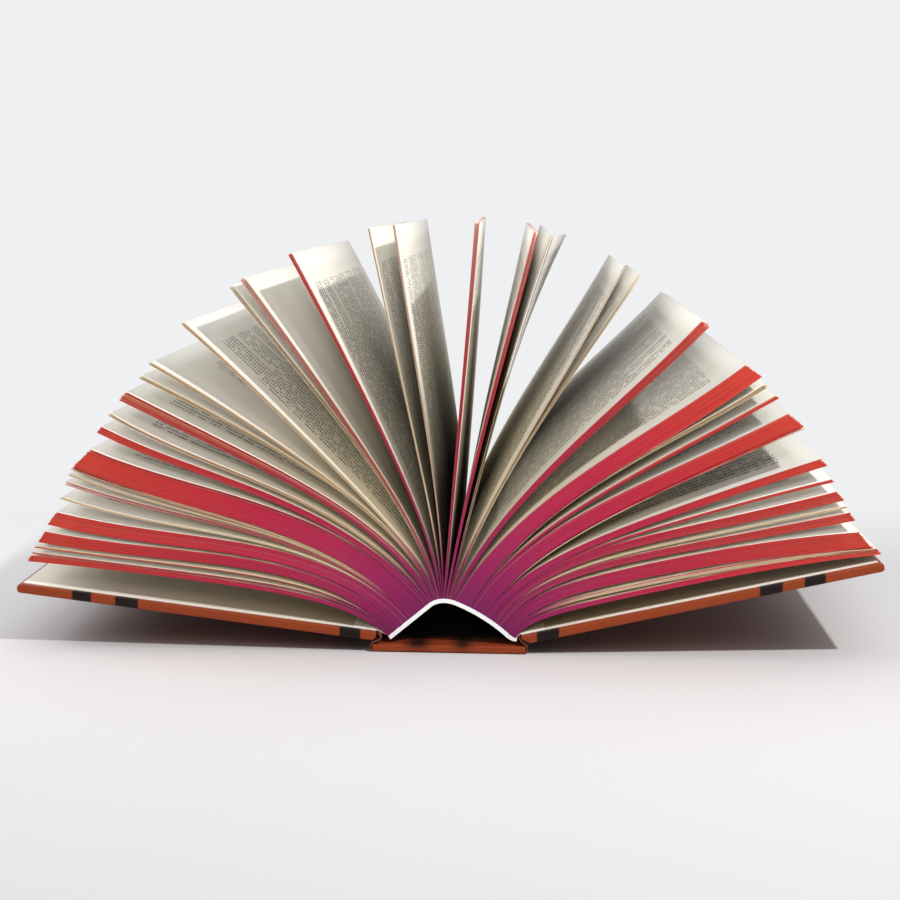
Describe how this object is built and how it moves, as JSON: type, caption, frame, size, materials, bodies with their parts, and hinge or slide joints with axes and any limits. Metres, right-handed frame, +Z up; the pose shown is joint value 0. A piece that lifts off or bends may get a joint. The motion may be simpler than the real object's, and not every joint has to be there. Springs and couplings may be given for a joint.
{
  "type": "open book",
  "caption": "Thick hardback book standing open on its flat spine, covers spread low to both sides and the leaves fanned out in an arch, with red-stained edges",
  "frame": {"origin": "middle of the spine board's underside, on the surface the book rests on", "axes": "+X from the back cover towards the front cover, +Y from the head of the book to its tail, +Z up out of the spine towards the fanned leaves"},
  "size_m": [0.3459, 0.235, 0.1709],
  "materials": {
    "leaves": "matte uncoated book paper, head and tail edges stained red",
    "spine_lining": "matte white fibrous card",
    "board": "matte grey board",
    "covering": "satin printed paper covering, orange-brown with dark bands",
    "endpaper": "matte cream endpaper"
  },
  "bodies": {
    "block": {"text_block": "leaves", "spine_lining": "spine_lining", "spine_board": "board", "spine_covering": "covering", "front_joint": "covering", "back_joint": "covering"},
    "front_cover": {"front_board": "board", "front_covering": "covering", "front_endpaper": "endpaper"},
    "back_cover": {"back_board": "board", "back_covering": "covering", "back_endpaper": "endpaper"}
  },
  "joints": [
    {"name": "front_hinge", "type": "hinge", "parent": "block", "child": "front_cover", "pos_m": [0.02872, 0, 0.00719], "axis": [0, 1, 0], "range_deg": [-0.8, 14]},
    {"name": "back_hinge", "type": "hinge", "parent": "block", "child": "back_cover", "pos_m": [-0.02912, 0, 0.00779], "axis": [0, 1, 0], "range_deg": [-8.3, 2.5]}
  ]
}
